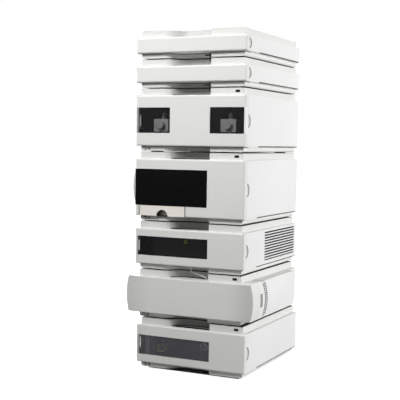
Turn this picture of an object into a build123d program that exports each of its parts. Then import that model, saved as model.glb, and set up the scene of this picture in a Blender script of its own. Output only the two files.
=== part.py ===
"""Stack of seven liquid-chromatography modules standing on one another.

Origin: middle of the bounding box, on the bench. +X right, +Y to the back, +Z up.
Every module is a base tray, a cabinet wrap, a lid and a pull-off front cover.
Lengths are in millimetres.
"""
import os

from build123d import *

os.makedirs("parts", exist_ok=True)

# ---- Driving dimensions -------------------------------------------------------------
# Module heights from the bench upwards
fluor_height = 146.0
oven_height = 140.0
detector_height = 139.0
sampler_height = 199.0
pump_height = 179.0
degasser_height = 82.0
valve_height = 80.0
fluor_shift = 7.0            # the lowest module stands a little to the right

# Shared plan and section of a module
body_width = 340.0
body_depth = 416.0           # cover face to cabinet back
base_height = 17.0           # set-back base strip, shadow gap included
base_floor = 2.0
lid_height = 19.5            # set-back lid strip
strip_side_inset = 10.8
strip_front_inset = 11.6
strip_back_inset = 3.2
seam_gap = 2.8               # shadow gap between two modules
wall = 3.0
fit_gap = 0.3                # clearance between pieces that come apart
edge_radius = 4.0            # rounded vertical edges of the covers
base_edge_radius = 6.0
back_radius = 6.0

# Front cover and the chamber behind it
cover_depth = 16.0
chamber_depth = 46.0
tongue_length = 8.0
tongue_width = 24.0
tongue_thickness = 2.5
tongue_spacing = 220.0

# Tubing scoop in the front of every lid and base
scoop_depth = 32.0
scoop_right = 58.0           # sharp step
scoop_flat_left = -25.0      # where the ramp reaches full depth
scoop_left = -88.0           # where the ramp starts

# Tubing slot in a cabinet's roof, under the lid's scoop
slot_left = -62.0
slot_margin = 3.0            # roof left standing beside and behind the slot

# Half-moon finger pockets behind the cover seam
pocket_reach = 18.0
pocket_half_height = 19.5
pocket_low_half_height = 15.0
pocket_depth = 5.0
pocket_slope = 6.0           # how far its rim leans in down to its floor

# Rebate under the side walls
rebate_start = 90.0
rebate_height = 3.0
rebate_depth = 1.8

# Feet
foot_height = 3.0
foot_radius = 11.0
foot_inset = 34.0
pad_size = 26.0

# Windows
window_return = 12.0         # how far a pane wraps round the cover's corner
window_lip = 4.0
window_lip_thickness = 1.5
pump_window_low = 53.5
pump_window_height = 72.0
pump_window_inner = 62.0
detector_window_low = 42.0
detector_window_height = 55.0
detector_window_right = 60.0
fluor_window_low = 40.5
fluor_window_height = 56.0
fluor_window_right = 62.5

# Lamps and power buttons
button_radius = 3.0
button_length = 12.0
button_proud = 2.2
button_travel = 1.8
button_flange = 1.2
button_inset = 13.7          # power button's axis, from the strip's left end
pilot_spacing = 12.7
pilot_radius = 2.2
pilot_length = 7.0
pilot_proud = 0.8
strip_light_z = 9.2          # buttons and pilot lamps above the module's bottom
status_inset = 19.7          # status lamp's middle, from the strip's right end
status_drop = 9.2            # status lamp below the module's top
status_width = 10.5
status_height = 4.0
status_thickness = 4.0
status_proud = 0.5

# Sampler
door_right = 55.0
door_low = 46.7
door_height = 103.3
door_thickness = 4.4
door_proud = 0.4
door_overhang = 0.6          # past the cover's left edge
door_frame = 12.0            # rim of the cover behind the door
door_frame_thickness = 2.5
hinge_gap = 1.2              # room beside the hinge for the door's turning edge
hinge_pin_radius = 1.0
hinge_pin_length = 4.0
grip_low = 54.0
grip_height = 92.0
grip_bulge = 7.5
grip_depth = 12.0
drawer_margin = 12.5         # cover left standing beside the drawer
drawer_gap = 1.4             # slit on either side of the drawer's front
drawer_width = 146.5
drawer_height = 29.0
drawer_depth = 150.0
drawer_notch_radius = 18.0
drawer_wall = 2.0
sampler_chamber_depth = 270.0
sampler_floor = 2.5
rack_radius = 96.0
rack_height = 30.0
vial_radius = 6.2
vial_stand = 6.0
arm_width = 34.0

# Column oven
oven_half_width = 191.0      # at the top and bottom edges
oven_side_bow = 8.0          # extra half width at mid height
oven_rear_bow = 1.5
oven_front_bow = 5.0         # the cover's face stands forward in the middle
oven_end_drop = 8.0          # its ends sweep back by this much
oven_end_sweep = 50.0
oven_cover_depth = 57.0
oven_edge_radius = 2.0
oven_wide_depth = 345.0
oven_corner_radius = 7.0
oven_grip_width = 18.0
oven_grip_height = 38.0
oven_grip_depth = 9.0
vent_rows = 16
vent_pitch = 5.6
vent_length = 8.5
vent_height = 3.0
vent_first = 88.0            # front end of the first vent column
vent_column_pitch = 13.0
vent_columns = 2
vent_bow = 8.0               # the vent columns bulge back at mid height

# Louvred grille in the detector's right side
grille_start = 153.0
grille_length = 243.0
grille_low = 31.0
louvre_count = 11
louvre_pitch = 7.9
louvre_opening = 4.4
louvre_angle = 32.0

# Pump heads
head_x = 105.0
head_width = 46.0
head_height = 36.0
head_thickness = 34.0
head_level = 76.0            # above the pump's bottom
barrel_radius = 12.0
barrel_length = 10.0
valve_radius = 6.5
valve_length = 14.0

# Optics behind the detector windows
optics_x = -27.0
optics_level = 82.7
lamp_house_width = 16.0
flow_cell_x = -108.5
flow_cell_level = 54.0
flow_cell_width = 22.0
flow_cell_height = 20.0
bracket_x = 18.0
bracket_level = 62.0
bracket_size = 18.0

# Tubing and drip catchers in the scoops
tube_radius = 1.5
tube_bend = 6.0
tube_start_x = -3.0
tube_end_x = 46.0
tube_y = 27.0
clip_left = 33.0             # drip catchers under the cabinets, beside the scoop's step
clip_right = 49.0
clip_width = 7.0
clip_height = 3.6
clip_drop = 6.0              # from the cabinet's underside to the catcher's rim
spout_reach = 10.0           # the catcher's spout below the seam

# Backs
inlet_width = 27.5
inlet_height = 20.0
inlet_margin = 26.0
port_width = 31.0
port_height = 12.5
port_pitch = 24.0
socket_rim = 2.0             # raised rim round an inlet or port
socket_depth = 3.5
socket_corner = 1.5
fan_slot_length = 86.0
fan_slot_height = 3.6
fan_slot_pitch = 9.0

# ---- Derived sizes ------------------------------------------------------------------
half_width = body_width / 2
strip_half = half_width - strip_side_inset
strip_front = strip_front_inset
strip_back = body_depth - strip_back_inset
seam_y = cover_depth
cabinet_front = cover_depth + fit_gap
button_x = button_inset - strip_half
pilot_x = button_x + pilot_spacing
status_x = strip_half - status_inset
drawer_left = drawer_margin - half_width
drawer_right = drawer_left + drawer_width
bulkhead_front = seam_y + chamber_depth
front_y = -(body_depth + socket_rim - oven_front_bow) / 2


class Module:
    """Levels of one module in the stack."""

    def __init__(self, name, height, bottom, shift=0.0, chamber=chamber_depth):
        self.name = name
        self.chamber = chamber
        self.bottom = bottom
        self.top = bottom + height
        self.low = bottom + base_height
        self.high = self.top - lid_height
        self.band = self.high - self.low
        self.mid = (self.low + self.high) / 2
        self.shift = shift


fluor = Module("fluor_detector", fluor_height, foot_height, fluor_shift)
oven = Module("column_oven", oven_height, fluor.top)
detector = Module("uv_detector", detector_height, oven.top)
sampler = Module("sampler", sampler_height, detector.top, chamber=sampler_chamber_depth)
pump = Module("pump", pump_height, sampler.top)
degasser = Module("degasser", degasser_height, pump.top)
valves = Module("valve_module", valve_height, degasser.top)


def plan(module, z):
    """Horizontal plane at height z; x from the module's middle, y from its cover face."""
    return Plane(origin=(module.shift, front_y, z))


def face(module, y):
    """Upright plane facing the user, y behind the cover face; local y is height."""
    return Plane(origin=(module.shift, front_y + y, 0), x_dir=(1, 0, 0), z_dir=(0, -1, 0))


def side(module, x):
    """Upright plane along the side at x; local x runs back, local y is height."""
    return Plane(origin=(module.shift + x, front_y, 0), x_dir=(0, 1, 0), z_dir=(1, 0, 0))


def block(module, x, y, z, mode=Mode.ADD):
    """Rectangular block between the pairs x, y and z, in the part being built."""
    middle = (module.shift + (x[0] + x[1]) / 2, front_y + (y[0] + y[1]) / 2, (z[0] + z[1]) / 2)
    with Locations(middle):
        Box(x[1] - x[0], y[1] - y[0], z[1] - z[0], mode=mode)


def save(part, label):
    part.label = label
    export_step(part, "parts/" + label + ".step")


# ---- Base trays and lids ------------------------------------------------------------
def strip_outline(inset=0.0):
    """Plan of a base or lid, with the tubing scoop in its front edge."""
    left = -strip_half + inset
    right = strip_half - inset
    front = strip_front + inset
    back = strip_back - inset
    deep = front + scoop_depth
    ramp_start = (scoop_left - inset, front)
    ramp_end = (scoop_flat_left - inset, deep)
    with BuildSketch() as outline:
        with BuildLine():
            Polyline((ramp_start), (left, front), (left, back), (right, back), (right, front),
                     (scoop_right + inset, front), (scoop_right + inset, deep), ramp_end)
            Spline(ramp_end, ramp_start, tangents=[(-1, 0), (-1, 0)])
        make_face()
    return outline.sketch


def make_base(module, buttons):
    floor = module.bottom + seam_gap
    with BuildPart() as base:
        with BuildSketch(plan(module, floor)):
            add(strip_outline())
        extrude(amount=module.low - floor)
        fillet(base.edges().filter_by(Axis.Y).group_by(Axis.Z)[0], base_edge_radius)
        with BuildSketch(plan(module, floor + base_floor)):
            add(strip_outline(wall))
        extrude(amount=module.low - floor - base_floor, mode=Mode.SUBTRACT)
        pad_x = strip_half - foot_inset
        pad_ys = (strip_front + foot_inset, strip_back - foot_inset)
        for y in pad_ys:
            for x in (-pad_x, pad_x):
                block(module, (x - pad_size / 2, x + pad_size / 2), (y - pad_size / 2, y + pad_size / 2),
                      (module.bottom, floor))
        if buttons:
            level = module.bottom + strip_light_z
            with BuildSketch(face(module, strip_front)):
                with Locations((button_x, level)):
                    Circle(button_radius + fit_gap)
                with Locations((pilot_x, level)):
                    Circle(pilot_radius + fit_gap)
            extrude(amount=-wall, mode=Mode.SUBTRACT)
    save(base.part, module.name + "_base")


def make_lid(module, status):
    with BuildPart() as lid:
        with BuildSketch(plan(module, module.high)):
            add(strip_outline())
        extrude(amount=module.top - module.high)
        fillet(lid.edges().filter_by(Axis.Y).group_by(Axis.Z)[-1], wall / 2)
        with BuildSketch(plan(module, module.high)):
            add(strip_outline(wall))
        extrude(amount=module.top - module.high - wall, mode=Mode.SUBTRACT)
        if status:
            level = module.top - status_drop
            with BuildSketch(face(module, strip_front)):
                with Locations((status_x, level)):
                    Rectangle(status_width + 2 * fit_gap, status_height + 2 * fit_gap)
            extrude(amount=-wall, mode=Mode.SUBTRACT)
    save(lid.part, module.name + "_lid")


# ---- Cabinets -----------------------------------------------------------------------
def pocket_height(module):
    tall = module.band > 2 * pocket_half_height + 4 * wall
    return pocket_half_height if tall else pocket_low_half_height


def half_moon(module, x, grow):
    """Half ellipse behind the cover seam, on the side plane at x."""
    with BuildSketch(side(module, x)) as moon:
        with Locations((seam_y, module.mid)):
            Ellipse(pocket_reach + grow, pocket_height(module) + grow)
        with Locations((cabinet_front, module.mid)):
            Rectangle(2 * pocket_reach, module.band, align=(Align.MAX, Align.CENTER), mode=Mode.SUBTRACT)
    return moon.sketch


def dish(module, x, lean):
    """Outline of a finger pocket on the side plane at x; its front half lies in the cover's seam."""
    with BuildSketch(side(module, x)) as outline:
        with Locations((seam_y, module.mid)):
            Ellipse(pocket_reach - lean, pocket_height(module) - lean)
    return outline.sketch


def back_sockets(module, grow):
    """Outlines of the mains inlet and the data ports on the plane of the cabinet's back."""
    inlet_x = half_width - inlet_margin - inlet_width / 2
    port_x = -half_width + inlet_margin + port_width / 2
    ports = max(1, int((module.band - 4 * wall) // port_pitch))
    with BuildSketch(face(module, body_depth)) as sockets:
        with Locations((inlet_x, module.mid)):
            RectangleRounded(inlet_width + grow, inlet_height + grow, socket_corner)
        with Locations((port_x, module.mid)):
            with GridLocations(0, port_pitch, 1, ports):
                RectangleRounded(port_width + grow, port_height + grow, socket_corner)
    return sockets.sketch


def fan_slots(module):
    """Outlines of the air slots in the middle of the cabinet's back."""
    slots = max(2, int((module.band - 6 * wall) // fan_slot_pitch))
    with BuildSketch(face(module, body_depth)) as openings:
        with Locations((0, module.mid)):
            with GridLocations(0, fan_slot_pitch, 1, slots):
                Rectangle(fan_slot_length, fan_slot_height)
    return openings.sketch


def cut_openings(module, x_limit, bulkhead):
    """Hollow out the cabinet being built: chamber in front, space behind the bulkhead."""
    inside = (module.low + wall, module.high - wall)
    block(module, (-x_limit, x_limit), (cabinet_front, bulkhead), inside, mode=Mode.SUBTRACT)
    behind = (module.low + rebate_height + wall, module.high - wall)
    block(module, (-x_limit, x_limit), (bulkhead + wall, body_depth - wall), behind, mode=Mode.SUBTRACT)


def make_cabinet(module):
    """Wrap of side walls, back, floor, roof and bulkhead, open at the front."""
    with BuildPart() as cabinet:
        with BuildSketch(plan(module, module.low)):
            with Locations((0, cabinet_front)):
                Rectangle(body_width, body_depth - cabinet_front, align=(Align.CENTER, Align.MIN))
        extrude(amount=module.band)
        fillet(cabinet.edges().filter_by(Axis.Z).group_by(Axis.Y)[-1], back_radius)
        cut_openings(module, half_width - wall, seam_y + module.chamber)
        # rebate along the lower edge, from a quarter of the depth to the back
        for x in ((half_width - rebate_depth, half_width), (-half_width, rebate_depth - half_width)):
            block(module, x, (rebate_start, body_depth), (module.low, module.low + rebate_height),
                  mode=Mode.SUBTRACT)
        # finger pockets
        for x, way in ((half_width, -1), (-half_width, 1)):
            extrude(half_moon(module, x, wall), amount=pocket_depth + wall, dir=(way, 0, 0))
            loft([dish(module, x, 0), dish(module, x + way * pocket_depth, pocket_slope)], mode=Mode.SUBTRACT)
        if module in (pump, sampler, detector, fluor):
            block(module, (slot_left, scoop_right - slot_margin),
                  (cabinet_front, strip_front + scoop_depth - slot_margin),
                  (module.high - 2 * wall, module.high), mode=Mode.SUBTRACT)
        # back panel
        extrude(back_sockets(module, 2 * socket_rim), amount=socket_rim, dir=(0, 1, 0))
        extrude(back_sockets(module, 0).moved(Location((0, socket_rim, 0))), amount=socket_depth,
                dir=(0, -1, 0), mode=Mode.SUBTRACT)
        extrude(fan_slots(module), amount=wall, dir=(0, -1, 0), mode=Mode.SUBTRACT)
        if module is detector:
            # louvres slope down and outwards through the right wall
            slope = Vector(1, 0, 0).rotate(Axis.Y, louvre_angle)
            with BuildSketch(side(module, half_width - 2 * wall)):
                with Locations((grille_start + grille_length / 2,
                                module.bottom + grille_low + (louvre_count * louvre_pitch) / 2)):
                    with GridLocations(0, louvre_pitch, 1, louvre_count):
                        Rectangle(grille_length, louvre_opening)
            extrude(amount=3 * wall, dir=slope, mode=Mode.SUBTRACT)
        if module is sampler:
            # floor of the vial chamber, above the drawer's bay
            block(module, (wall - half_width, half_width - wall), (cabinet_front, seam_y + module.chamber),
                  (module.bottom + door_low + 2 * fit_gap, module.bottom + door_low + 2 * fit_gap + sampler_floor))
    save(cabinet.part, module.name + "_cabinet")


def barrel(y, half, bow, inset=0.0):
    """Upright section of the oven: flat top and bottom, bowed sides."""
    low, high = oven.low + inset, oven.high - inset
    half = half - inset
    with BuildSketch(face(oven, y)) as section:
        with BuildLine():
            Line((-half, low), (half, low))
            ThreePointArc((half, low), (half + bow, oven.mid), (half, high))
            Line((half, high), (-half, high))
            ThreePointArc((-half, high), (-half - bow, oven.mid), (-half, low))
        make_face()
    return section.sketch


def vent_places():
    """Staggered columns of vents that follow a shallow arc up the oven's side."""
    places = []
    for column in range(vent_columns):
        for row in range(vent_rows):
            level = (row - (vent_rows - 1) / 2 + 0.5 * (column % 2)) * vent_pitch
            bow = vent_bow * (1 - (2 * level / oven.band) ** 2)
            places.append((vent_first + column * vent_column_pitch + bow, oven.mid + level))
    return places


def make_oven_cabinet():
    """The oven's cabinet: wide cheeks in front, the common width at the back."""
    front = oven_cover_depth + fit_gap
    bulkhead = oven_cover_depth + chamber_depth
    side_plane = oven_half_width + oven_side_bow
    with BuildPart() as cabinet:
        loft([barrel(front, oven_half_width, oven_side_bow),
              barrel(oven_wide_depth, oven_half_width, oven_rear_bow)])
        with BuildSketch(plan(oven, oven.low)):
            with Locations((0, oven_wide_depth - wall)):
                Rectangle(body_width, body_depth - oven_wide_depth + wall, align=(Align.CENTER, Align.MIN))
        extrude(amount=oven.band)
        # chamber, then the spaces behind the bulkhead
        loft([barrel(front, oven_half_width, oven_side_bow, wall),
              barrel(bulkhead, oven_half_width, oven_side_bow, wall)], mode=Mode.SUBTRACT)
        loft([barrel(bulkhead + wall, oven_half_width, oven_side_bow, wall),
              barrel(oven_wide_depth - wall, oven_half_width, oven_rear_bow, wall)], mode=Mode.SUBTRACT)
        block(oven, (wall - half_width, half_width - wall), (oven_wide_depth - 2 * wall, body_depth - wall),
              (oven.low + wall, oven.high - wall), mode=Mode.SUBTRACT)
        for way in (-1, 1):
            # grip slot behind the cover's seam, in a boss on the inside of the wall
            with BuildSketch(side(oven, way * (side_plane - wall))):
                with Locations((front, oven.mid)):
                    Rectangle(oven_grip_width + wall, oven_grip_height + 2 * wall,
                              align=(Align.MIN, Align.CENTER))
            extrude(amount=-way * oven_grip_depth)
            with BuildSketch(side(oven, way * side_plane)):
                with Locations((front, oven.mid)):
                    Rectangle(oven_grip_width, oven_grip_height, align=(Align.MIN, Align.CENTER))
            extrude(amount=-way * oven_grip_depth, mode=Mode.SUBTRACT)
            with BuildSketch(side(oven, way * (oven_half_width - 2 * wall))):
                with Locations(*vent_places()):
                    Rectangle(vent_length, vent_height)
            extrude(amount=way * (2 * wall + oven_side_bow + 1), mode=Mode.SUBTRACT)
        extrude(back_sockets(oven, 2 * socket_rim), amount=socket_rim, dir=(0, 1, 0))
        extrude(back_sockets(oven, 0).moved(Location((0, socket_rim, 0))), amount=socket_depth,
                dir=(0, -1, 0), mode=Mode.SUBTRACT)
        extrude(fan_slots(oven), amount=wall, dir=(0, -1, 0), mode=Mode.SUBTRACT)
    save(cabinet.part, oven.name + "_cabinet")


# ---- Front covers -------------------------------------------------------------------
def tongues(module, seam, thickness):
    """Four spring tongues that reach into the cabinet behind the cover being built."""
    for x in (-tongue_spacing / 2, tongue_spacing / 2):
        span = (x - tongue_width / 2, x + tongue_width / 2)
        for level, way in ((module.high - wall, -1), (module.low + wall, 1)):
            root = sorted((level, level + way * thickness))
            tip = sorted((level + way * fit_gap, level + way * thickness))
            block(module, span, (wall, seam), root)
            block(module, span, (seam, seam + tongue_length), tip)


def make_cover(module, windows=()):
    """Moulded front cover; windows are (inner edge, outer side, lower edge, height)."""
    with BuildPart() as cover:
        with BuildSketch(plan(module, module.low)):
            Rectangle(body_width, cover_depth, align=(Align.CENTER, Align.MIN))
        extrude(amount=module.band)
        fillet(cover.faces().sort_by(Axis.Y)[0].edges(), edge_radius)
        inner = half_width - wall
        block(module, (-inner, inner), (wall, cover_depth), (module.low + wall, module.high - wall),
              mode=Mode.SUBTRACT)
        for inner_x, way, low, height in windows:
            level = (module.bottom + low, module.bottom + low + height)
            outer = way * (half_width + wall)
            block(module, sorted((inner_x, outer)), (-wall, wall), level, mode=Mode.SUBTRACT)
            cheek = way * (half_width - wall)
            block(module, sorted((cheek, outer)), (-wall, window_return), level, mode=Mode.SUBTRACT)
        tongues(module, cover_depth, tongue_thickness)
        if module is sampler:
            open_for_door()
    save(cover.part, module.name + "_cover")


def open_for_door():
    """Rim behind the door, the hinge's pin holes and the drawer's opening."""
    low = sampler.bottom + door_low
    high = low + door_height
    left = -half_width
    seat = door_thickness - door_proud + fit_gap
    block(sampler, (left + wall, door_right + door_frame), (wall, seat + door_frame_thickness),
          (low - fit_gap, high + door_frame))
    block(sampler, (left + door_frame, door_right - door_frame), (0, cover_depth),
          (low + door_frame, high - door_frame), mode=Mode.SUBTRACT)
    block(sampler, (left - wall, door_right + hinge_gap), (-wall, seat), (low - fit_gap, high + fit_gap),
          mode=Mode.SUBTRACT)
    block(sampler, (drawer_left - drawer_gap, drawer_right + drawer_gap),
          (-wall, cover_depth + tongue_length + wall), (sampler.low - wall, sampler.low + drawer_height + fit_gap),
          mode=Mode.SUBTRACT)
    for level in (low, high):
        with Locations(hinge_point(level)):
            Cylinder(hinge_pin_radius + fit_gap / 2, 2 * (hinge_pin_length + fit_gap), mode=Mode.SUBTRACT)


def hinge_point(level):
    """Centre of the door's hinge axis at a height."""
    return (door_right - door_thickness / 2, front_y + door_thickness / 2 - door_proud, level)


def make_oven_cover():
    reach = oven_half_width + oven_side_bow
    flat = reach - oven_end_sweep
    ends = oven_end_drop - oven_front_bow
    with BuildPart() as cover:
        with BuildSketch(plan(oven, oven.low)):
            with BuildLine():
                Line((-flat, -oven_front_bow), (flat, -oven_front_bow))
                TangentArc((flat, -oven_front_bow), (reach, ends), tangent=(1, 0))
                Polyline((reach, ends), (reach, oven_cover_depth), (-reach, oven_cover_depth), (-reach, ends))
                TangentArc((-flat, -oven_front_bow), (-reach, ends), tangent=(-1, 0))
            make_face()
        extrude(amount=oven.band)
        extrude(barrel(oven_cover_depth, oven_half_width, oven_side_bow),
                amount=oven_cover_depth + oven_front_bow, mode=Mode.INTERSECT)
        # outline of the face, without the two lines where its ends start to sweep back
        outline = cover.edges().filter_by(
            lambda edge: edge.center().Y < front_y + ends + fit_gap
            and not wall < abs(edge.center().X) < flat + wall)
        fillet(outline, oven_edge_radius)
        extrude(barrel(oven_cover_depth, oven_half_width, oven_side_bow, wall),
                amount=oven_cover_depth - ends - wall, mode=Mode.SUBTRACT)
        tongues(oven, oven_cover_depth, tongue_thickness)
    save(cover.part, oven.name + "_cover")


# ---- Windows ------------------------------------------------------------------------
def make_window(module, label, inner_x, way, low, height):
    """Smoked pane set in the cover, wrapped round its corner; way is -1 left, 1 right."""
    outer = way * half_width
    edge = inner_x + way * fit_gap
    back = window_return - fit_gap
    level = module.bottom + low + fit_gap
    with BuildPart() as pane:
        with BuildSketch(plan(module, level)):
            with BuildLine():
                Polyline((edge, 0), (outer, 0), (outer, back), (outer - way * (wall - fit_gap), back),
                         (outer - way * (wall - fit_gap), wall), (edge, wall), close=True)
            make_face()
        extrude(amount=height - 2 * fit_gap)
        corner = pane.edges().filter_by(Axis.Z).sort_by_distance((module.shift + outer, front_y, level))[0]
        fillet(corner, edge_radius)
        block(module, sorted((edge - way * window_lip, outer - way * (wall + fit_gap))),
              (wall, wall + window_lip_thickness),
              (level - window_lip, level + height - 2 * fit_gap + window_lip))
    save(pane.part, label)


# ---- Lamps, buttons ------------------------------------------------------------------
def make_button(module):
    level = module.bottom + strip_light_z
    with BuildPart() as button:
        with BuildSketch(face(module, strip_front - button_proud)):
            with Locations((button_x, level)):
                Circle(button_radius)
        extrude(amount=-button_length)
        fillet(button.faces().sort_by(Axis.Y)[0].edges(), button_radius / 4)
        with BuildSketch(face(module, strip_front + wall + fit_gap)):
            with Locations((button_x, level)):
                Circle(button_radius + button_flange)
        extrude(amount=-button_flange)
    save(button.part, module.name + "_power_button")


def make_pilot(module):
    with BuildPart() as pilot:
        with BuildSketch(face(module, strip_front - pilot_proud)):
            with Locations((pilot_x, module.bottom + strip_light_z)):
                Circle(pilot_radius)
        extrude(amount=-pilot_length)
        fillet(pilot.faces().sort_by(Axis.Y)[0].edges(), pilot_radius / 2)
    save(pilot.part, module.name + "_pilot_lamp")


def make_status(module):
    with BuildPart() as status:
        with BuildSketch(face(module, strip_front - status_proud)):
            with Locations((status_x, module.top - status_drop)):
                RectangleRounded(status_width, status_height, status_height / 5)
        extrude(amount=-(status_thickness + status_proud))
    save(status.part, module.name + "_status_lamp")


# ---- Sampler ------------------------------------------------------------------------
def make_door():
    low = sampler.bottom + door_low
    left = -half_width - door_overhang
    axis_x = door_right - door_thickness / 2
    with BuildPart() as door:
        with BuildSketch(plan(sampler, low)):
            with Locations(((left + axis_x) / 2, door_thickness / 2 - door_proud)):
                Rectangle(axis_x - left, door_thickness)
            with Locations((axis_x, door_thickness / 2 - door_proud)):
                Circle(door_thickness / 2)
        extrude(amount=door_height)
        for level in (low, low + door_height):
            with Locations(hinge_point(level)):
                Cylinder(hinge_pin_radius, 2 * hinge_pin_length)
    save(door.part, "sampler_door")


def make_grip():
    chord = -half_width - door_overhang
    low = sampler.bottom + grip_low
    with BuildPart() as grip:
        with BuildSketch(face(sampler, -door_proud)):
            with BuildLine():
                Line((chord, low), (chord, low + grip_height))
                ThreePointArc((chord, low + grip_height), (chord - grip_bulge, low + grip_height / 2),
                              (chord, low))
            make_face()
        extrude(amount=-grip_depth)
        fillet(grip.edges().filter_by(GeomType.CIRCLE), grip_bulge / 4)
    save(grip.part, "sampler_door_grip")


def make_drawer():
    plate = (drawer_left, drawer_right)
    tray = (drawer_left + 2 * wall, drawer_right - 2 * wall)
    floor = sampler.low + wall + fit_gap
    rim = sampler.low + drawer_height - 2 * wall
    tray_front = cover_depth + wall
    with BuildPart() as drawer:
        block(sampler, plate, (0, wall), (sampler.low, sampler.low + drawer_height))
        block(sampler, tray, (wall, drawer_depth), (floor, rim))
        block(sampler, (tray[0] + drawer_wall, tray[1] - drawer_wall), (wall, tray_front), (floor, rim),
              mode=Mode.SUBTRACT)
        block(sampler, (tray[0] + drawer_wall, tray[1] - drawer_wall),
              (tray_front + drawer_wall, drawer_depth - drawer_wall), (floor + drawer_wall, rim),
              mode=Mode.SUBTRACT)
        with BuildSketch(face(sampler, 0)):
            with Locations(((drawer_left + drawer_right) / 2, sampler.low)):
                Circle(drawer_notch_radius)
        extrude(amount=-wall, mode=Mode.SUBTRACT)
    save(drawer.part, "sampler_drawer")


def make_vial_rack():
    """Round rack with its capped vials standing proud of the plate."""
    floor = sampler.bottom + door_low + 2 * fit_gap + sampler_floor
    centre = (-half_width / 4, seam_y + sampler_chamber_depth - rack_radius - 2 * wall)
    with BuildPart() as rack:
        with BuildSketch(plan(sampler, floor)):
            with Locations(centre):
                Circle(rack_radius)
                Circle(rack_radius / 4, mode=Mode.SUBTRACT)
        extrude(amount=rack_height)
        with BuildSketch(plan(sampler, floor + rack_height)):
            with Locations(centre):
                with PolarLocations(rack_radius - 2 * vial_radius, 14):
                    RegularPolygon(vial_radius, 8)
                with PolarLocations(rack_radius - 5 * vial_radius, 9):
                    RegularPolygon(vial_radius, 8)
        extrude(amount=vial_stand)
    save(rack.part, "sampler_vial_rack")


def make_arm():
    floor = sampler.bottom + door_low + 2 * fit_gap + sampler_floor
    back = seam_y + sampler_chamber_depth
    left = half_width / 2 + arm_width / 2
    rail = sampler.high - 3 * wall - arm_width
    with BuildPart() as arm:
        block(sampler, (left, left + arm_width), (back - arm_width, back), (floor, rail + arm_width))
        block(sampler, (-half_width / 4 - arm_width / 2, left), (back - arm_width, back - wall),
              (rail, rail + arm_width / 2))
        block(sampler, (-half_width / 4 - arm_width / 2, arm_width / 2 - half_width / 4),
              (back - 2 * arm_width - rack_radius / 2, back - arm_width),
              (rail, rail + arm_width / 2))
        needle = (-half_width / 4, front_y + back - 2 * arm_width - rack_radius / 4, rail)
        with Locations(needle):
            Cylinder(wall, arm_width, align=(Align.CENTER, Align.CENTER, Align.MAX))
    save(arm.part, "sampler_arm")


# ---- Pieces behind the covers --------------------------------------------------------
def make_pump_head(label, x):
    seat = bulkhead_front
    level = pump.bottom + head_level
    with BuildPart() as head:
        with BuildSketch(face(pump, seat)):
            with Locations((x, level)):
                RectangleRounded(head_width, head_height, wall)
        extrude(amount=head_thickness)
        with BuildSketch(face(pump, seat - head_thickness)):
            with Locations((x, level)):
                Circle(barrel_radius)
        extrude(amount=barrel_length)
        middle = front_y + seat - head_thickness / 2
        for way, stand in ((1, Align.MIN), (-1, Align.MAX)):
            with Locations((x, middle, level + way * head_height / 2)):
                Cylinder(valve_radius, valve_length, align=(Align.CENTER, Align.CENTER, stand))
        chamfer(head.faces().sort_by(Axis.Y)[0].edges(), barrel_radius / 6)
    save(head.part, label)


def make_optics():
    level = (detector.low + 4 * wall, detector.high - 4 * wall)
    with BuildPart() as optics:
        block(detector, (-half_width + 12 * wall, half_width / 2), (bulkhead_front - 6 * wall, bulkhead_front),
              level)
        fillet(optics.edges().filter_by(Axis.Y), wall)
        with BuildSketch(face(detector, bulkhead_front - 6 * wall)):
            with Locations((optics_x, detector.bottom + optics_level)):
                Circle(2 * wall)
        extrude(amount=2 * wall)
    save(optics.part, "uv_detector_optics")


def make_fluor_parts():
    level = (fluor.low + 2 * wall, fluor.high - 2 * wall)
    left = -half_width + pocket_depth + wall + fit_gap
    with BuildPart() as house:
        block(fluor, (left, left + lamp_house_width), (bulkhead_front - 10 * wall, bulkhead_front), level)
        fillet(house.edges().filter_by(Axis.Z), wall)
    save(house.part, "fluor_detector_lamp_house")
    with BuildPart() as cell:
        with BuildSketch(face(fluor, bulkhead_front)):
            with Locations((flow_cell_x, fluor.bottom + flow_cell_level)):
                RectangleRounded(flow_cell_width, flow_cell_height, wall / 2)
        extrude(amount=8 * wall)
        with BuildSketch(face(fluor, bulkhead_front - 8 * wall)):
            with Locations((flow_cell_x + wall, fluor.bottom + flow_cell_level)):
                Circle(wall)
        extrude(amount=-4 * wall, mode=Mode.SUBTRACT)
    save(cell.part, "fluor_detector_flow_cell")
    foot = fluor.bottom + bracket_level
    seat = bulkhead_front
    with BuildPart() as bracket:
        block(fluor, (bracket_x - wall, bracket_x), (seat - 7 * wall, seat), (foot, foot + bracket_size))
        block(fluor, (bracket_x, bracket_x + bracket_size), (seat - 7 * wall, seat), (foot, foot + wall))
        with BuildSketch(face(fluor, seat - wall)):
            Polygon((bracket_x, foot + wall), (bracket_x + bracket_size, foot + wall),
                    (bracket_x, foot + bracket_size), align=None)
        extrude(amount=-wall)
    save(bracket.part, "fluor_detector_bracket")


def make_heater(label, way):
    seat = oven_cover_depth + chamber_depth
    x = sorted((way * (oven_half_width - 6 * wall), way * (oven_half_width - 6 * wall - 22 * wall)))
    with BuildPart() as heater:
        block(oven, x, (seat - 8 * wall, seat), (oven.low + 4 * wall, oven.high - 4 * wall))
        with BuildSketch(face(oven, seat - 8 * wall)):
            with Locations((sum(x) / 2, oven.mid)):
                with GridLocations(6 * wall, 0, 3, 1):
                    Rectangle(2 * wall, oven.band)
        extrude(amount=-3 * wall, mode=Mode.SUBTRACT)
    save(heater.part, label)


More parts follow.
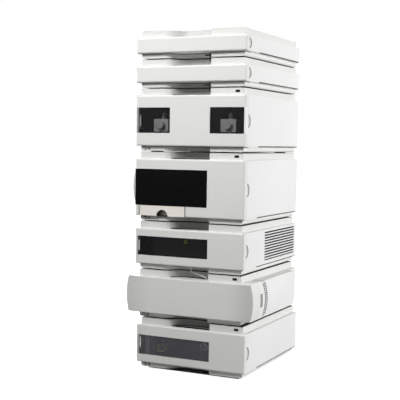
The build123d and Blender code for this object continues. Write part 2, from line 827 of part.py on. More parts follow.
# ---- Tubing, drip catchers, feet -------------------------------------------------------------
def make_drain_tube():
    """White drain tube from the UV detector's scoop into the oven's scoop."""
    top = detector.low
    foot = oven.high
    y = front_y + tube_y
    corners = [(tube_start_x, y, top), (tube_start_x, y, oven.top), (tube_end_x, y, foot + tube_bend),
               (tube_end_x, y, foot)]
    with BuildPart() as tube:
        with BuildLine() as route:
            FilletPolyline(*corners, radius=tube_bend)
        with BuildSketch(Plane(origin=route.line @ 0, z_dir=route.line % 0)):
            Circle(tube_radius)
        sweep()
    save(tube.part, "drain_tube")


def make_drip_catchers():
    """Small troughs hung under two cabinets in the scoops, each with a spout into the lid below."""
    spout_x = clip_right - tube_radius
    across = (tube_y - clip_width / 2, tube_y + clip_width / 2)
    with BuildPart() as catchers:
        for module in (valves, degasser):
            rim = module.low - clip_drop
            floor = rim - clip_height
            block(module, (clip_left, clip_right), across, (floor, rim))
            block(module, (clip_left + 1, clip_right - 2 * tube_radius - 1), (across[0] + 1, across[1] - 1),
                  (floor + 1, rim), mode=Mode.SUBTRACT)
            with Locations((spout_x, front_y + tube_y, module.low)):
                Cylinder(tube_radius, base_height + spout_reach, align=(Align.CENTER, Align.CENTER, Align.MAX))
    save(catchers.part, "drip_catchers")


def make_feet():
    x = strip_half - foot_inset
    ys = (front_y + strip_front + foot_inset, front_y + strip_back - foot_inset)
    with BuildPart() as feet:
        with Locations(*[(fluor.shift + way * x, y, 0) for y in ys for way in (-1, 1)]):
            Cylinder(foot_radius, foot_height, align=(Align.CENTER, Align.CENTER, Align.MIN))
    save(feet.part, "rubber_feet")


# ---- Build --------------------------------------------------------------------------
for module, lit in ((fluor, True), (oven, True), (detector, False), (sampler, True), (pump, True),
                    (degasser, False), (valves, False)):
    make_base(module, lit)
    make_lid(module, lit)
    if lit:
        make_button(module)
        make_pilot(module)
        make_status(module)
    if module is not oven:
        make_cabinet(module)

pump_window = (pump_window_low, pump_window_height)
detector_window = (detector_window_right, -1, detector_window_low, detector_window_height)
fluor_window = (fluor_window_right, -1, fluor_window_low, fluor_window_height)

make_cover(valves)
make_cover(degasser)
make_cover(pump, [(-pump_window_inner, -1, *pump_window), (pump_window_inner, 1, *pump_window)])
make_cover(sampler)
make_cover(detector, [detector_window])
make_cover(fluor, [fluor_window])
make_oven_cover()
make_oven_cabinet()

make_window(pump, "pump_left_window", -pump_window_inner, -1, *pump_window)
make_window(pump, "pump_right_window", pump_window_inner, 1, *pump_window)
make_window(detector, "uv_detector_window", *detector_window)
make_window(fluor, "fluor_detector_window", *fluor_window)

make_door()
make_grip()
make_drawer()
make_vial_rack()
make_arm()

make_pump_head("pump_left_head", -head_x)
make_pump_head("pump_right_head", head_x)
make_optics()
make_fluor_parts()
make_heater("column_oven_left_heater", -1)
make_heater("column_oven_right_heater", 1)
make_drain_tube()
make_drip_catchers()
make_feet()
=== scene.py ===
"""Finishes, small fittings, stage and camera for a stack of chromatography modules."""
import math

import bmesh
import bpy
from bpy.props import FloatProperty, FloatVectorProperty, PointerProperty
from mathutils import Matrix, Vector


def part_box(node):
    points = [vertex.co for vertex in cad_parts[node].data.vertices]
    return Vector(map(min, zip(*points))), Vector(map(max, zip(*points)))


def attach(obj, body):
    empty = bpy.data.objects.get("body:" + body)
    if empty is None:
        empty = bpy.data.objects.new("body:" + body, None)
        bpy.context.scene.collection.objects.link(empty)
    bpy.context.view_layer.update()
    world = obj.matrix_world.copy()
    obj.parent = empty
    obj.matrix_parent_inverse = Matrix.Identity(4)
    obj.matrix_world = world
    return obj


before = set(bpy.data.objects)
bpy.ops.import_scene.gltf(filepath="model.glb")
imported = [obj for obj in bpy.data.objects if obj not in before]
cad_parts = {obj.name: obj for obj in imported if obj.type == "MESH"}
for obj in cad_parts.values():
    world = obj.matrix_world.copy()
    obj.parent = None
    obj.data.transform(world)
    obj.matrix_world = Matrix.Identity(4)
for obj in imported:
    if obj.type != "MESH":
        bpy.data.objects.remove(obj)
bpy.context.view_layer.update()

bl_info = {
    "name": "Chromatography stack",
    "version": (1, 0, 0),
    "blender": (4, 5, 0),
    "location": "View3D > Sidebar > Stack",
    "description": "Finishes and small fittings for a packed stack of laboratory modules",
    "category": "Object",
}

MODULES = ("valve_module", "degasser", "pump", "sampler",
           "uv_detector", "column_oven", "fluor_detector")    # from the top down
LIT = ("pump", "sampler", "column_oven", "fluor_detector")    # those with button and lamps
STACK = "stack"
QUARTER = math.pi / 2


# ---- Places taken from the frame ---------------------------------------------------
def low_corner(node):
    return Vector(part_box(node)[0])


def high_corner(node):
    return Vector(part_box(node)[1])


def middle(node):
    return (low_corner(node) + high_corner(node)) / 2


FRONT = low_corner("pump_cover").y       # plane of the flat covers
BACK = high_corner("pump_cabinet").y     # rims of the sockets in the backs
HALF_WIDTH = (high_corner("pump_cabinet").x - low_corner("pump_cabinet").x) / 2
SEAM = 0.0028                            # shadow gap between two modules

# Reaches of the cabinets' recesses, which the painted shade inside follows; depths run back from FRONT
POCKET_END = 0.0370                      # back end of the finger pockets
POCKET_REACH = 0.0226                    # half their height
POCKET_MARGIN = 0.0052                   # least wall above a pocket in the low modules
POCKET_FLOOR = 0.0078                    # how far in from the side wall the pockets go
SKIN = 0.0022                            # how far in from a side wall its inner face lies
SLOT_END = 0.0785                        # back end of the oven's grip slots
SLOT_REACH = 0.0222                      # half their height
SLOT_FLOOR = 0.1860                      # half the width between them
OVEN_EDGE = 0.1910                       # half the oven's width at its top and bottom edges
OVEN_BOW = 0.0080                        # extra at mid height, at the front
OVEN_BARREL = (0.0573, 0.2877)           # start and length of the barrel
OVEN_NARROWING = 0.0065                  # how much of the bow is lost along it
OVEN_WIDE_END = 0.3425                   # back end of the wide part
VENTS = (0.0830, 0.1145)                 # front and back end of the two arcs of vents
VENT_ARC = 0.0945                        # depth of the line between the arcs at the edges
LOUVRES = (0.1530, 0.3960)               # front and back end of the louvres
SCOOP = 0.034                            # depth of the scoops in lids and bases
SOCKET_MARGIN = 0.026                    # from a back's end to its inlet or data ports
INLET_WIDTH, PORT_WIDTH = 0.0275, 0.031
PORT_PITCH, PIN_PITCH = 0.024, 0.0028
PANEL_STEP = 0.0020                      # the back panel lies this far in from the sockets' rims
SCREW_MARGIN, SCREW_HEIGHT = 0.013, 0.0085    # from a back's end, and from its lower or upper edge
STRIP_START, STRIP_END = FRONT + 0.0912, BACK - 0.0095    # ends of the dark strips that stand in for the shade in the rebates
CORNER = 0.006                           # width of the worn zone along a cover's edges


# ---- Settings ----------------------------------------------------------------------
def colour(name, description, default):
    return FloatVectorProperty(name=name, description=description, subtype="COLOR", size=3,
                               min=0.0, max=1.0, default=default)


def length(name, description, default):
    return FloatProperty(name=name, description=description, unit="LENGTH", precision=5,
                         default=default)


class StackFinishes(bpy.types.PropertyGroup):
    """Colours and surface textures of the stack."""

    paint: colour("Cabinet paint", "Fine textured paint on the side walls", (0.86, 0.865, 0.855))
    plastic: colour("Cover plastic", "Plastic of covers, lids and bases", (0.82, 0.82, 0.797))
    # The dark colour is painted shade: it goes on the cabinets' inner faces and on strip faces hidden in
    # the seam gaps.
    inside: colour("Painted shade colour", "Dark colour painted as shade inside the cabinets and in the seam gaps", (0.02, 0.021, 0.022))
    smoke: colour("Smoked pane", "Tint of the smoked windows", (0.90, 0.90, 1.0))
    frost: colour("Frosted band", "Pale edge of the panes, on the cover's corner", (1.0, 1.0, 1.0))
    door: colour("Sampler door", "Near black gloss plastic", (0.0035, 0.0035, 0.004))
    steel: colour("Steel", "Machined steel of the pump heads", (0.88, 0.88, 0.88))
    aluminium: colour("Aluminium", "Milled aluminium", (0.85, 0.86, 0.87))
    brass: colour("Brass", "Yellow passivated metal of the flow cell", (0.74, 0.70, 0.14))
    lens: colour("Optics cap", "Yellow green cap on the optics", (0.72, 0.84, 0.06))
    grain: length("Texture size", "Size of the moulded texture's grains", 0.0007)


class StackFittings(bpy.types.PropertyGroup):
    """Sizes of the small fittings."""

    ring_width: length("Ring width", "Thickness of the dark rings round buttons and lamps", 0.0015)
    screw_radius: length("Screw radius", "Head radius of the screws in the backs", 0.0032)
    pin_radius: length("Pin radius", "Radius of the pins in the data ports", 0.0006)
    tube_radius: length("Capillary radius", "Radius of the pump heads' capillaries", 0.0008)
    cap_radius: length("Cap radius", "Radius of the vial caps", 0.0056)


class StackStage(bpy.types.PropertyGroup):
    """Floor, light and camera."""

    floor: colour("Floor", "Colour of the floor", (0.35, 0.35, 0.35))
    ambient: FloatProperty(name="Ambient", description="Strength of the even light from all round",
                           min=0.0, default=0.05)
    front_power: FloatProperty(name="Front lamp", description="Power of the lamp above the left front",
                               unit="POWER", default=8.6)
    side_power: FloatProperty(name="Side lamp", description="Power of the lamp on the right",
                              unit="POWER", default=80.0)
    top_power: FloatProperty(name="Top lamp", description="Power of the lamp overhead",
                             unit="POWER", default=15.0)
    rear_power: FloatProperty(name="Rear lamp", description="Power of the lamp behind on the left",
                              unit="POWER", default=75.0)
    eye: FloatVectorProperty(name="Eye", description="Place of the camera", subtype="XYZ",
                             unit="LENGTH", size=3, precision=5,
                             default=(1.15305, -2.53286, 0.65202))
    pan: FloatProperty(name="Pan", description="Turn of the camera to the left", subtype="ANGLE",
                       default=math.radians(25.659))
    tilt: FloatProperty(name="Tilt", description="Turn of the camera upwards", subtype="ANGLE",
                        default=math.radians(-3.466))
    roll: FloatProperty(name="Roll", description="Turn of the camera about its axis", subtype="ANGLE",
                        default=math.radians(0.813))
    focal_length: FloatProperty(name="Focal length", description="Lens on a 36 mm sensor",
                                unit="CAMERA", default=83.745)


# ---- Node materials ----------------------------------------------------------------
class Wire:
    """Output of a shader node; arithmetic on it adds Math nodes."""

    def __init__(self, finish, socket):
        self.finish = finish
        self.socket = socket

    def math(self, operation, *others):
        operands = dict(enumerate((self, *others)))
        return self.finish.node("ShaderNodeMath", {"operation": operation}, operands)

    def __add__(self, other):
        return self.math("ADD", other)

    __radd__ = __add__

    def __mul__(self, other):
        return self.math("MULTIPLY", other)

    __rmul__ = __mul__

    def __sub__(self, other):
        return self.math("SUBTRACT", other)

    def __rsub__(self, other):
        return self.finish.node("ShaderNodeMath", {"operation": "SUBTRACT"}, {0: other, 1: self})

    def __truediv__(self, other):
        return self.math("DIVIDE", other)

    def __pow__(self, other):
        return self.math("POWER", other)

    def __abs__(self):
        return self.math("ABSOLUTE")

    def __lt__(self, other):
        return self.math("LESS_THAN", other)

    def __gt__(self, other):
        return self.math("GREATER_THAN", other)


class Finish:
    """A node tree under construction."""

    def __init__(self, owner):
        owner.use_nodes = True
        self.owner = owner
        self.tree = owner.node_tree
        self.tree.nodes.clear()

    def node(self, kind, settings=None, sockets=None, output=0):
        """Adds a node: its settings first, then its sockets' values or links."""
        made = self.tree.nodes.new(kind)
        for name, value in (settings or {}).items():
            setattr(made, name, value)
        for key, value in (sockets or {}).items():
            if isinstance(value, Wire):
                self.tree.links.new(value.socket, made.inputs[key])
            else:
                made.inputs[key].default_value = value
        return Wire(self, made.outputs[output] if len(made.outputs) else None)

    def place(self):
        """Object coordinates as three wires."""
        coords = self.node("ShaderNodeTexCoord", output="Object")
        split = self.node("ShaderNodeSeparateXYZ", sockets={0: coords})
        outputs = split.socket.node.outputs
        return [Wire(self, outputs[axis]) for axis in "XYZ"]

    def noise(self, size, detail=2.0, stretch=(1.0, 1.0, 1.0)):
        """Noise with features of about the given size in metres."""
        coords = self.node("ShaderNodeTexCoord", output="Object")
        spread = tuple(1.0 / (size * s) for s in stretch)
        mapped = self.node("ShaderNodeMapping", sockets={"Vector": coords, "Scale": spread})
        return self.node("ShaderNodeTexNoise",
                         sockets={"Vector": mapped, "Scale": 1.0, "Detail": detail})

    def climb(self, value, low, high, smooth=True):
        """0 below low, 1 above high."""
        return self.node("ShaderNodeMapRange",
                         {"interpolation_type": "SMOOTHSTEP" if smooth else "LINEAR", "clamp": True},
                         {"Value": value, "From Min": low, "From Max": high})

    def blend(self, factor, first, second):
        """First colour where the factor is 0, second where it is 1."""
        sockets = {0: factor}
        for index, value in ((6, first), (7, second)):
            sockets[index] = value if isinstance(value, Wire) else (*value, 1.0)
        return self.node("ShaderNodeMix", {"data_type": "RGBA"}, sockets, 2)

    def shade(self, base, amount):
        """Base colour made lighter or darker by a wire around 1."""
        first = base if isinstance(base, Wire) else (*base, 1.0)
        grey = self.node("ShaderNodeCombineColor", sockets={0: amount, 1: amount, 2: amount})
        return self.node("ShaderNodeMix", {"data_type": "RGBA", "blend_type": "MULTIPLY"},
                         {0: 1.0, 6: first, 7: grey}, 2)

    def relief(self, height, distance, strength=1.0):
        return self.node("ShaderNodeBump", sockets={"Height": height, "Distance": distance,
                                                    "Strength": strength})

    def surface(self, **sockets):
        """Ends the tree with a Principled shader; underscores stand for spaces."""
        named = {key.replace("_", " ").title().replace("Ior", "IOR"): value
                 for key, value in sockets.items()}
        if not isinstance(named["Base Color"], Wire):
            named["Base Color"] = (*named["Base Color"], 1.0)
        shader = self.node("ShaderNodeBsdfPrincipled", sockets=named)
        self.node("ShaderNodeOutputMaterial", sockets={"Surface": shader})
        return self.owner


def new_finish(name):
    return Finish(bpy.data.materials.new(name))


def dress(material, *nodes):
    """Gives CAD nodes a finish."""
    for node in nodes:
        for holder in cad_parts[node].material_slots:
            holder.material = material


def between(value, low, high):
    """1 where the wire lies between two values."""
    return (value > low) * (value < high)


def cabinet_shade_mask(module, x, y, z):
    """1 where shade is painted: on the surfaces inside a cabinet and on the cut faces of the oven's
    vents and the detector's louvres; 0.62 for a painted shadow along the finger pockets' rims; 0 outside
    and in the pockets.
    """
    low, high = low_corner(module + "_cabinet"), high_corner(module + "_cabinet")
    level, rise = (low.z + high.z) / 2, (high.z - low.z) / 2
    off = abs(x - middle(module + "_lid").x)
    back = y - FRONT
    away = abs(z - level)
    if module == "column_oven":
        climb = (z - level) / rise
        start, run = OVEN_BARREL
        bow = OVEN_BOW - (back - start) * (OVEN_NARROWING / run)
        outer = OVEN_EDGE + bow * (1.0 - climb * climb)
        past_slot = (back > SLOT_END).math("MAXIMUM", away > SLOT_REACH)
        cheek = (off < outer - SKIN) * (back < OVEN_WIDE_END)
        # The cut faces of the oven's vents get the dark colour as painted shade.
        vents = (off < outer - 0.0003) * between(back, *VENTS)
        within = cheek.math("MAXIMUM", vents).math("MAXIMUM", off < HALF_WIDTH - SKIN)
        within = within * past_slot.math("MAXIMUM", off < SLOT_FLOOR)
    else:
        reach = min(POCKET_REACH, rise - POCKET_MARGIN)
        past_pocket = (back > POCKET_END).math("MAXIMUM", away > reach)
        # Painted shadow on the pockets' rims, at 0.62 of the dark colour.
        rim = (1.0 - past_pocket) * between(off, HALF_WIDTH - 0.0024, HALF_WIDTH - 0.0005)
        within = past_pocket.math("MAXIMUM", off < HALF_WIDTH - POCKET_FLOOR)
        within = within * (off < HALF_WIDTH - SKIN) + 0.62 * rim
    if module == "uv_detector":
        # The cut faces of the detector's louvres get the dark colour as painted shade.
        louvres = (off < HALF_WIDTH - 0.0002) * (x > 0.0) * between(back, *LOUVRES)
        within = within.math("MAXIMUM", louvres * between(z, low.z + 0.0130, high.z - 0.0030))
    inner_levels = between(z, low.z + 0.0024, high.z - 0.0024)
    return within * inner_levels * (back > 0.0170) * (y < high.y - 0.0048)


def paint_finish(module, settings):
    """Fine textured paint outside; painted shade inside the cabinet and round the oven's vents."""
    low, high = low_corner(module + "_cabinet"), high_corner(module + "_cabinet")
    paint = new_finish("paint_" + module)
    x, y, z = paint.place()
    inner = cabinet_shade_mask(module, x, y, z)
    patches = paint.noise(0.22, 3.0)
    grain = paint.noise(settings.grain)
    orange_peel = paint.noise(settings.grain * 3.5, 1.0)
    rubbed = paint.climb(paint.noise(0.012, 4.0), 0.56, 0.72)
    near_edge = 1.0 - paint.climb(z - low.z, 0.0, 0.005)
    tone = 0.965 + 0.06 * patches - 0.05 * near_edge * rubbed + 0.02 * (grain - 0.5)
    if module == "column_oven":
        climb = (z - (low.z + high.z) / 2) / ((high.z - low.z) / 2)
        arc = FRONT + VENT_ARC + OVEN_BOW * (1.0 - climb * climb)
        # Painted shade on the oven's outer wall round its vents, within about 11 mm of the line between
        # the two arcs.
        vent_shade = 1.0 - paint.climb(abs(y - arc), 0.0108, 0.0125)
        tone = tone - vent_shade * (0.15 + 0.16 * paint.noise(0.006, 3.0))
    outer = paint.shade(settings.paint, tone)
    # Dark colour painted as shade on the faces the mask picks out.
    inner_shade = paint.shade(settings.inside, 0.7 + 0.6 * paint.noise(0.004, 3.0))
    height = grain * 0.6 + orange_peel
    return paint.surface(base_color=paint.blend(inner, outer, inner_shade),
                         roughness=0.50 + 0.12 * (patches - 0.5) + 0.30 * inner + 0.06 * grain,
                         specular_ior_level=0.3,
                         normal=paint.relief(height, 0.00008, 0.55))


def cover_finish(module, settings):
    """Moulded plastic of a front cover, rubbed along its edges; on the oven, painted shade towards both
    ends of the face.
    """
    node = module + "_cover"
    low, high = low_corner(node), high_corner(node)
    centre = (low.x + high.x) / 2
    cover = new_finish("cover_" + module)
    x, y, z = cover.place()
    patches = cover.noise(0.16, 3.0)
    flow = cover.noise(0.05, 2.0, (3.0, 1.0, 0.5))
    grain = cover.noise(settings.grain)
    edge_x = (high.x - centre) - abs(x - centre)
    edge_z = (z - low.z).math("MINIMUM", high.z - z)
    edge = 1.0 - cover.climb(edge_x.math("MINIMUM", edge_z), 0.0, CORNER)
    worn = edge * cover.climb(cover.noise(0.006, 4.0), 0.50, 0.68)
    face = 0.0535 if module == "column_oven" else 0.0032
    behind = cover.climb(y, FRONT + face, FRONT + 0.06)
    touched = cover.climb(cover.noise(0.03, 2.0, (1.0, 1.0, 2.0)), 0.55, 0.70)
    tone = 0.972 + 0.045 * patches + 0.016 * (flow - 0.5) - 0.05 * worn + 0.018 * (grain - 0.5)
    if module == "column_oven":
        # Painted shade on the oven's front face, darker over the last 85 mm towards each end.
        tone = tone - 0.14 * (1.0 - cover.climb(edge_x, 0.0, 0.085)) * (y < FRONT + 0.0035)
    roughness = 0.46 + 0.10 * (patches - 0.5) - 0.07 * touched + 0.05 * grain + 0.02 * behind
    height = grain + 0.5 * cover.noise(settings.grain * 4.0, 1.0)
    return cover.surface(base_color=cover.shade(settings.plastic, tone), roughness=roughness,
                         specular_ior_level=0.4, normal=cover.relief(height, 0.00007, 0.5))


def strip_finish(module, settings):
    """The same plastic on the set-back lid and base, with painted shade along the seams, in the scoops
    and on faces hidden in the gaps, and painted shadow just under and just over the covers.
    """
    low, high = low_corner(module + "_base"), high_corner(module + "_lid")
    strip = new_finish("strip_" + module)
    x, y, z = strip.place()
    patches = strip.noise(0.12, 3.0)
    grain = strip.noise(settings.grain)
    # Painted shade along the strip's top and bottom edges, at the seams.
    seam = 1.0 - strip.climb((z - low.z).math("MINIMUM", high.z - z), 0.0, 0.0045)
    scoop = strip.climb(y, low.y + 0.002, low.y + SCOOP - 0.004)
    scoop = scoop * (1.0 - strip.climb(y, low.y + SCOOP - 0.002, low.y + SCOOP))
    scoop = scoop * (abs(x - (low.x + high.x) / 2) < (high.x - low.x) / 2 - 0.005)
    # Faces hidden in the seam gaps get the dark colour as painted shade.
    hidden = z < low.z + SEAM + 0.0004
    if module != MODULES[0]:
        hidden = hidden + (z > high.z - 0.0003)
    # Noise that breaks up the painted shade along the seams and in the scoops.
    shade_mottle = strip.climb(strip.noise(0.009, 5.0), 0.46, 0.66)
    tone = 0.94 + 0.05 * patches - 0.10 * seam * (0.4 + 0.6 * shade_mottle) + 0.02 * (grain - 0.5)
    # Painted shade in the scoops, darker for each module further down the stack.
    tone = tone * (1.0 - (0.20 + 0.05 * MODULES.index(module)) * scoop - 0.05 * scoop * shade_mottle)
    under, over = low_corner(module + "_cover").z, high_corner(module + "_cover").z
    # Painted shadow on the strip just under the cover's lower edge.
    eaves = strip.climb(z, under - 0.0036, under - 0.0010) * (z < under + 0.002)
    eaves = eaves * (y < low.y + SCOOP + 0.001)
    # Painted shadow in the scoop just above the cover's top edge.
    ledge = (1.0 - strip.climb(z, over + 0.0008, over + 0.0042)) * (z > over - 0.002)
    ledge = ledge * (y > low.y + 0.008) * (scoop > 0.0)
    tone = tone * (1.0 - 0.80 * eaves) * (1.0 - 0.92 * ledge)
    shaded = strip.shade(settings.plastic, tone)
    return strip.surface(base_color=strip.blend(hidden, shaded, settings.inside),
                         roughness=0.52 + 0.10 * (patches - 0.5) + 0.10 * seam + 0.05 * grain,
                         specular_ior_level=0.35,
                         normal=strip.relief(grain, 0.00007, 0.5))


# Share of light each pane keeps back, tone of its haze and tone of its frosted band; the band's tone is
# set per pane as painted light and shade
PANES = {"pump_left_window": (0.34, 0.02, 0.33), "pump_right_window": (0.34, 0.02, 1.0),
         "uv_detector_window": (0.36, 0.03, 0.88), "fluor_detector_window": (0.34, 0.20, 0.70)}


def pane_finish(node, settings):
    """Smoked pane; its frosted band follows the rounded corner of the cover."""
    kept, haze, pale = PANES[node]
    low, high = low_corner(node), high_corner(node)
    pane = new_finish("smoke_" + node)
    x, _, z = pane.place()
    left = middle(node).x < 0.0
    inset, width = (x - low.x, 0.0080) if left else (high.x - x, 0.0054)
    band = 1.0 - pane.climb(inset, width - 0.0004, width + 0.0004)
    streaks = pane.noise(0.020, 3.0, (1.0, 1.0, 6.0))
    scratches = pane.climb(pane.noise(0.004, 6.0, (12.0, 1.0, 0.6)), 0.63, 0.70)
    border = 1.0 - pane.climb((z - low.z).math("MINIMUM", high.z - z), 0.0040, 0.0052)
    tint = pane.shade(settings.smoke, haze * (0.85 + 0.3 * streaks) * (1.0 - 0.8 * border))
    # The frosted band's tone differs per pane as painted light and shade.
    frost = pane.shade(settings.frost, pale * (0.94 + 0.12 * streaks))
    density = kept + 0.03 * (streaks - 0.5) + 0.25 * border + (0.95 - kept) * band
    return pane.surface(base_color=pane.blend(band, tint, frost),
                        roughness=0.09 + 0.08 * streaks + 0.10 * scratches + 0.25 * band,
                        specular_ior_level=0.22,
                        alpha=density.math("MINIMUM", 1.0),
                        normal=pane.relief(streaks, 0.00002, 0.3))


def simple_finish(name, base, roughness, metallic=0.0, size=0.004, stretch=(1.0, 1.0, 1.0),
                  contrast=0.12, bump=0.00004, specular=0.5):
    """Any small piece: colour, roughness and relief varied by one noise."""
    made = new_finish(name)
    mottle = made.noise(size, 3.0, stretch)
    fine = made.noise(size / 5.0, 2.0, stretch)
    smear = made.climb(made.noise(size * 4.0, 3.0), 0.35, 0.70)
    sockets = {
        "base_color": made.shade(base, 1.0 - contrast / 2 + contrast * mottle),
        "roughness": roughness + 0.12 * (mottle - 0.5) + 0.05 * smear,
        "metallic": metallic,
        "specular_ior_level": specular,
        "normal": made.relief(fine + mottle, bump, 0.6),
    }
    return made.surface(**sockets)


# ---- Meshes ------------------------------------------------------------------------
def add_piece(name, shape, body, material, smooth_angle=35.0):
    """Closes a bmesh into an object that rides on a body."""
    bmesh.ops.remove_doubles(shape, verts=shape.verts, dist=1e-6)
    bmesh.ops.recalc_face_normals(shape, faces=shape.faces)
    mesh = bpy.data.meshes.new(name)
    shape.to_mesh(mesh)
    shape.free()
    for polygon in mesh.polygons:
        polygon.use_smooth = True
    mesh.set_sharp_from_angle(angle=math.radians(smooth_angle))
    mesh.materials.append(material)
    made = bpy.data.objects.new(name, mesh)
    bpy.context.collection.objects.link(made)
    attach(made, body)
    return made


def add_ring(shape, centre, radius, wire, segments=32):
    """Round ring about an axis along Y."""
    matrix = Matrix.Translation(centre + Vector((radius, 0.0, 0.0)))
    made = bmesh.ops.create_circle(shape, cap_ends=False, radius=wire / 2, segments=10, matrix=matrix)
    edges = {edge for vertex in made["verts"] for edge in vertex.link_edges}
    bmesh.ops.spin(shape, geom=made["verts"] + list(edges), cent=centre, axis=(0.0, 1.0, 0.0),
                   angle=2 * math.pi, steps=segments, use_merge=True)


def add_block(shape, centre, size, bevel=0.0, segments=2):
    """Block with softened edges."""
    matrix = Matrix.Translation(centre) @ Matrix.Diagonal((*size, 1.0))
    made = bmesh.ops.create_cube(shape, size=1.0, matrix=matrix)
    if bevel:
        edges = {edge for vertex in made["verts"] for edge in vertex.link_edges}
        bmesh.ops.bevel(shape, geom=list(edges), offset=bevel, offset_type="OFFSET", affect="EDGES",
                        segments=segments, profile=0.5, material=-1, clamp_overlap=True)


def add_rod(shape, centre, radius, depth, turn=None, segments=12, taper=1.0):
    """Capped rod; its axis is Z unless it is turned."""
    matrix = Matrix.Translation(centre) @ (turn or Matrix())
    return bmesh.ops.create_cone(shape, cap_ends=True, segments=segments, radius1=radius,
                                 radius2=radius * taper, depth=depth, matrix=matrix)["verts"]


def add_screw(shape, centre, radius):
    """Pan head screw with a star recess, facing back along Y."""
    turn = Matrix.Rotation(-QUARTER, 4, "X")
    verts = add_rod(shape, centre, radius, radius * 0.7, turn, 12, 0.86)
    faces = {face for vertex in verts for face in vertex.link_faces}
    top = max(faces, key=lambda face: (len(face.verts) == 12, face.calc_center_median().y))
    bmesh.ops.inset_region(shape, faces=[top], thickness=radius * 0.36)
    bmesh.ops.scale(shape, vec=(0.72, 1.0, 0.72), space=Matrix.Translation(-centre),
                    verts=list(top.verts)[::2])
    sunk = bmesh.ops.extrude_face_region(shape, geom=[top])
    corners = [item for item in sunk["geom"] if isinstance(item, bmesh.types.BMVert)]
    bmesh.ops.translate(shape, vec=(0.0, -radius * 0.45, 0.0), verts=corners)
    bmesh.ops.delete(shape, geom=[top], context="FACES")


# ---- Operators ---------------------------------------------------------------------
class STACK_OT_set_camera(bpy.types.Operator):
    """Place the camera at the right front, a little above the middle"""

    bl_idname = "stack.set_camera"
    bl_label = "Set the camera"

    def execute(self, context):
        settings = context.scene.stack_stage
        pan, tilt, roll = settings.pan, settings.tilt, settings.roll
        level = Vector((math.cos(pan), math.sin(pan), 0.0))
        ahead = Vector((-level.y * math.cos(tilt), level.x * math.cos(tilt), math.sin(tilt)))
        above = level.cross(ahead)
        right = level * math.cos(roll) + above * math.sin(roll)
        up = above * math.cos(roll) - level * math.sin(roll)
        data = bpy.data.cameras.new("camera")
        data.sensor_fit = "HORIZONTAL"
        data.sensor_width = 36.0
        data.lens = settings.focal_length
        camera = bpy.data.objects.new("camera", data)
        context.collection.objects.link(camera)
        turn = Matrix((right, up, -ahead)).transposed().to_4x4()
        camera.matrix_world = Matrix.Translation(Vector(settings.eye)) @ turn
        context.scene.camera = camera
        return {"FINISHED"}


class STACK_OT_set_stage(bpy.types.Operator):
    """Lay the floor, hang the lamps and set the even light"""

    bl_idname = "stack.set_stage"
    bl_label = "Set the stage"

    def execute(self, context):
        settings = context.scene.stack_stage
        shape = bmesh.new()
        bmesh.ops.create_circle(shape, cap_ends=True, radius=14.0, segments=96)
        mesh = bpy.data.meshes.new("floor")
        shape.to_mesh(mesh)
        shape.free()
        floor = bpy.data.objects.new("floor", mesh)
        context.collection.objects.link(floor)
        mesh.materials.append(self.floor_material(settings))
        self.light_world(context.scene, settings)
        # name, place, target, size, power, spread in degrees
        for lamp in (
            ("front_lamp", (-1.1, -2.5, 2.7), (0.0, -0.2, 0.95), (1.0, 0.8), settings.front_power, 50),
            ("side_lamp", (3.0, 0.75, 0.95), (0.17, 0.0, 0.45), (1.8, 1.8), settings.side_power, 180),
            ("rear_lamp", (-2.4, 3.2, 1.3), (0.0, 0.1, 0.5), (1.6, 1.6), settings.rear_power, 180),
            ("top_lamp", (0.2, -1.2, 3.0), (0.0, -0.2, 0.6), (1.6, 1.2), settings.top_power, 180),
        ):
            self.hang_lamp(*lamp)
        context.scene.view_settings.view_transform = "Standard"
        return {"FINISHED"}

    def floor_material(self, settings):
        """White to the camera, except in the dark under the stack; grey to the light."""
        floor = new_finish("floor")
        x, y, _ = floor.place()
        away = (x * x + y * y) ** 0.5
        fade = floor.climb(away, 0.9, 3.2)
        low, high = low_corner("fluor_detector_base"), high_corner("fluor_detector_base")
        under = abs(x - (low.x + high.x) / 2) < (high.x - low.x) / 2 - 0.016
        under = under * (y > low.y + 0.013) * (y < BACK - 0.020)
        path = floor.node("ShaderNodeLightPath", output="Is Camera Ray")
        glow = (0.88 + 0.15 * fade) * path * (1.0 - under)
        grey = floor.shade(settings.floor, 0.98 + 0.04 * floor.noise(0.05, 3.0))
        lit = floor.shade((1.0, 1.0, 1.0), glow)
        return floor.surface(base_color=grey, roughness=0.6, specular_ior_level=0.2,
                             emission_color=lit, emission_strength=1.0)

    def light_world(self, scene, settings):
        """White to the camera and in reflections; a weak even light otherwise."""
        world = bpy.data.worlds.new("studio")
        scene.world = world
        sky = Finish(world)
        path = sky.node("ShaderNodeLightPath", output="Is Camera Ray")
        rays = path.socket.node.outputs
        seen = path.math("MAXIMUM", Wire(sky, rays["Is Glossy Ray"]))
        seen = seen.math("MAXIMUM", Wire(sky, rays["Is Transmission Ray"]))
        even, white = (sky.node("ShaderNodeBackground",
                                sockets={"Color": (1.0, 1.0, 1.0, 1.0), "Strength": strength})
                       for strength in (settings.ambient, 1.0))
        mixed = sky.node("ShaderNodeMixShader", sockets={0: seen, 1: even, 2: white})
        sky.node("ShaderNodeOutputWorld", sockets={"Surface": mixed})

    def hang_lamp(self, name, place, target, size, power, spread):
        data = bpy.data.lights.new(name, "AREA")
        data.spread = math.radians(spread)
        data.shape = "RECTANGLE"
        data.size, data.size_y = size
        data.energy = power
        lamp = bpy.data.objects.new(name, data)
        bpy.context.collection.objects.link(lamp)
        aim = (Vector(place) - Vector(target)).to_track_quat("Z", "Y")
        lamp.matrix_world = Matrix.Translation(place) @ aim.to_matrix().to_4x4()


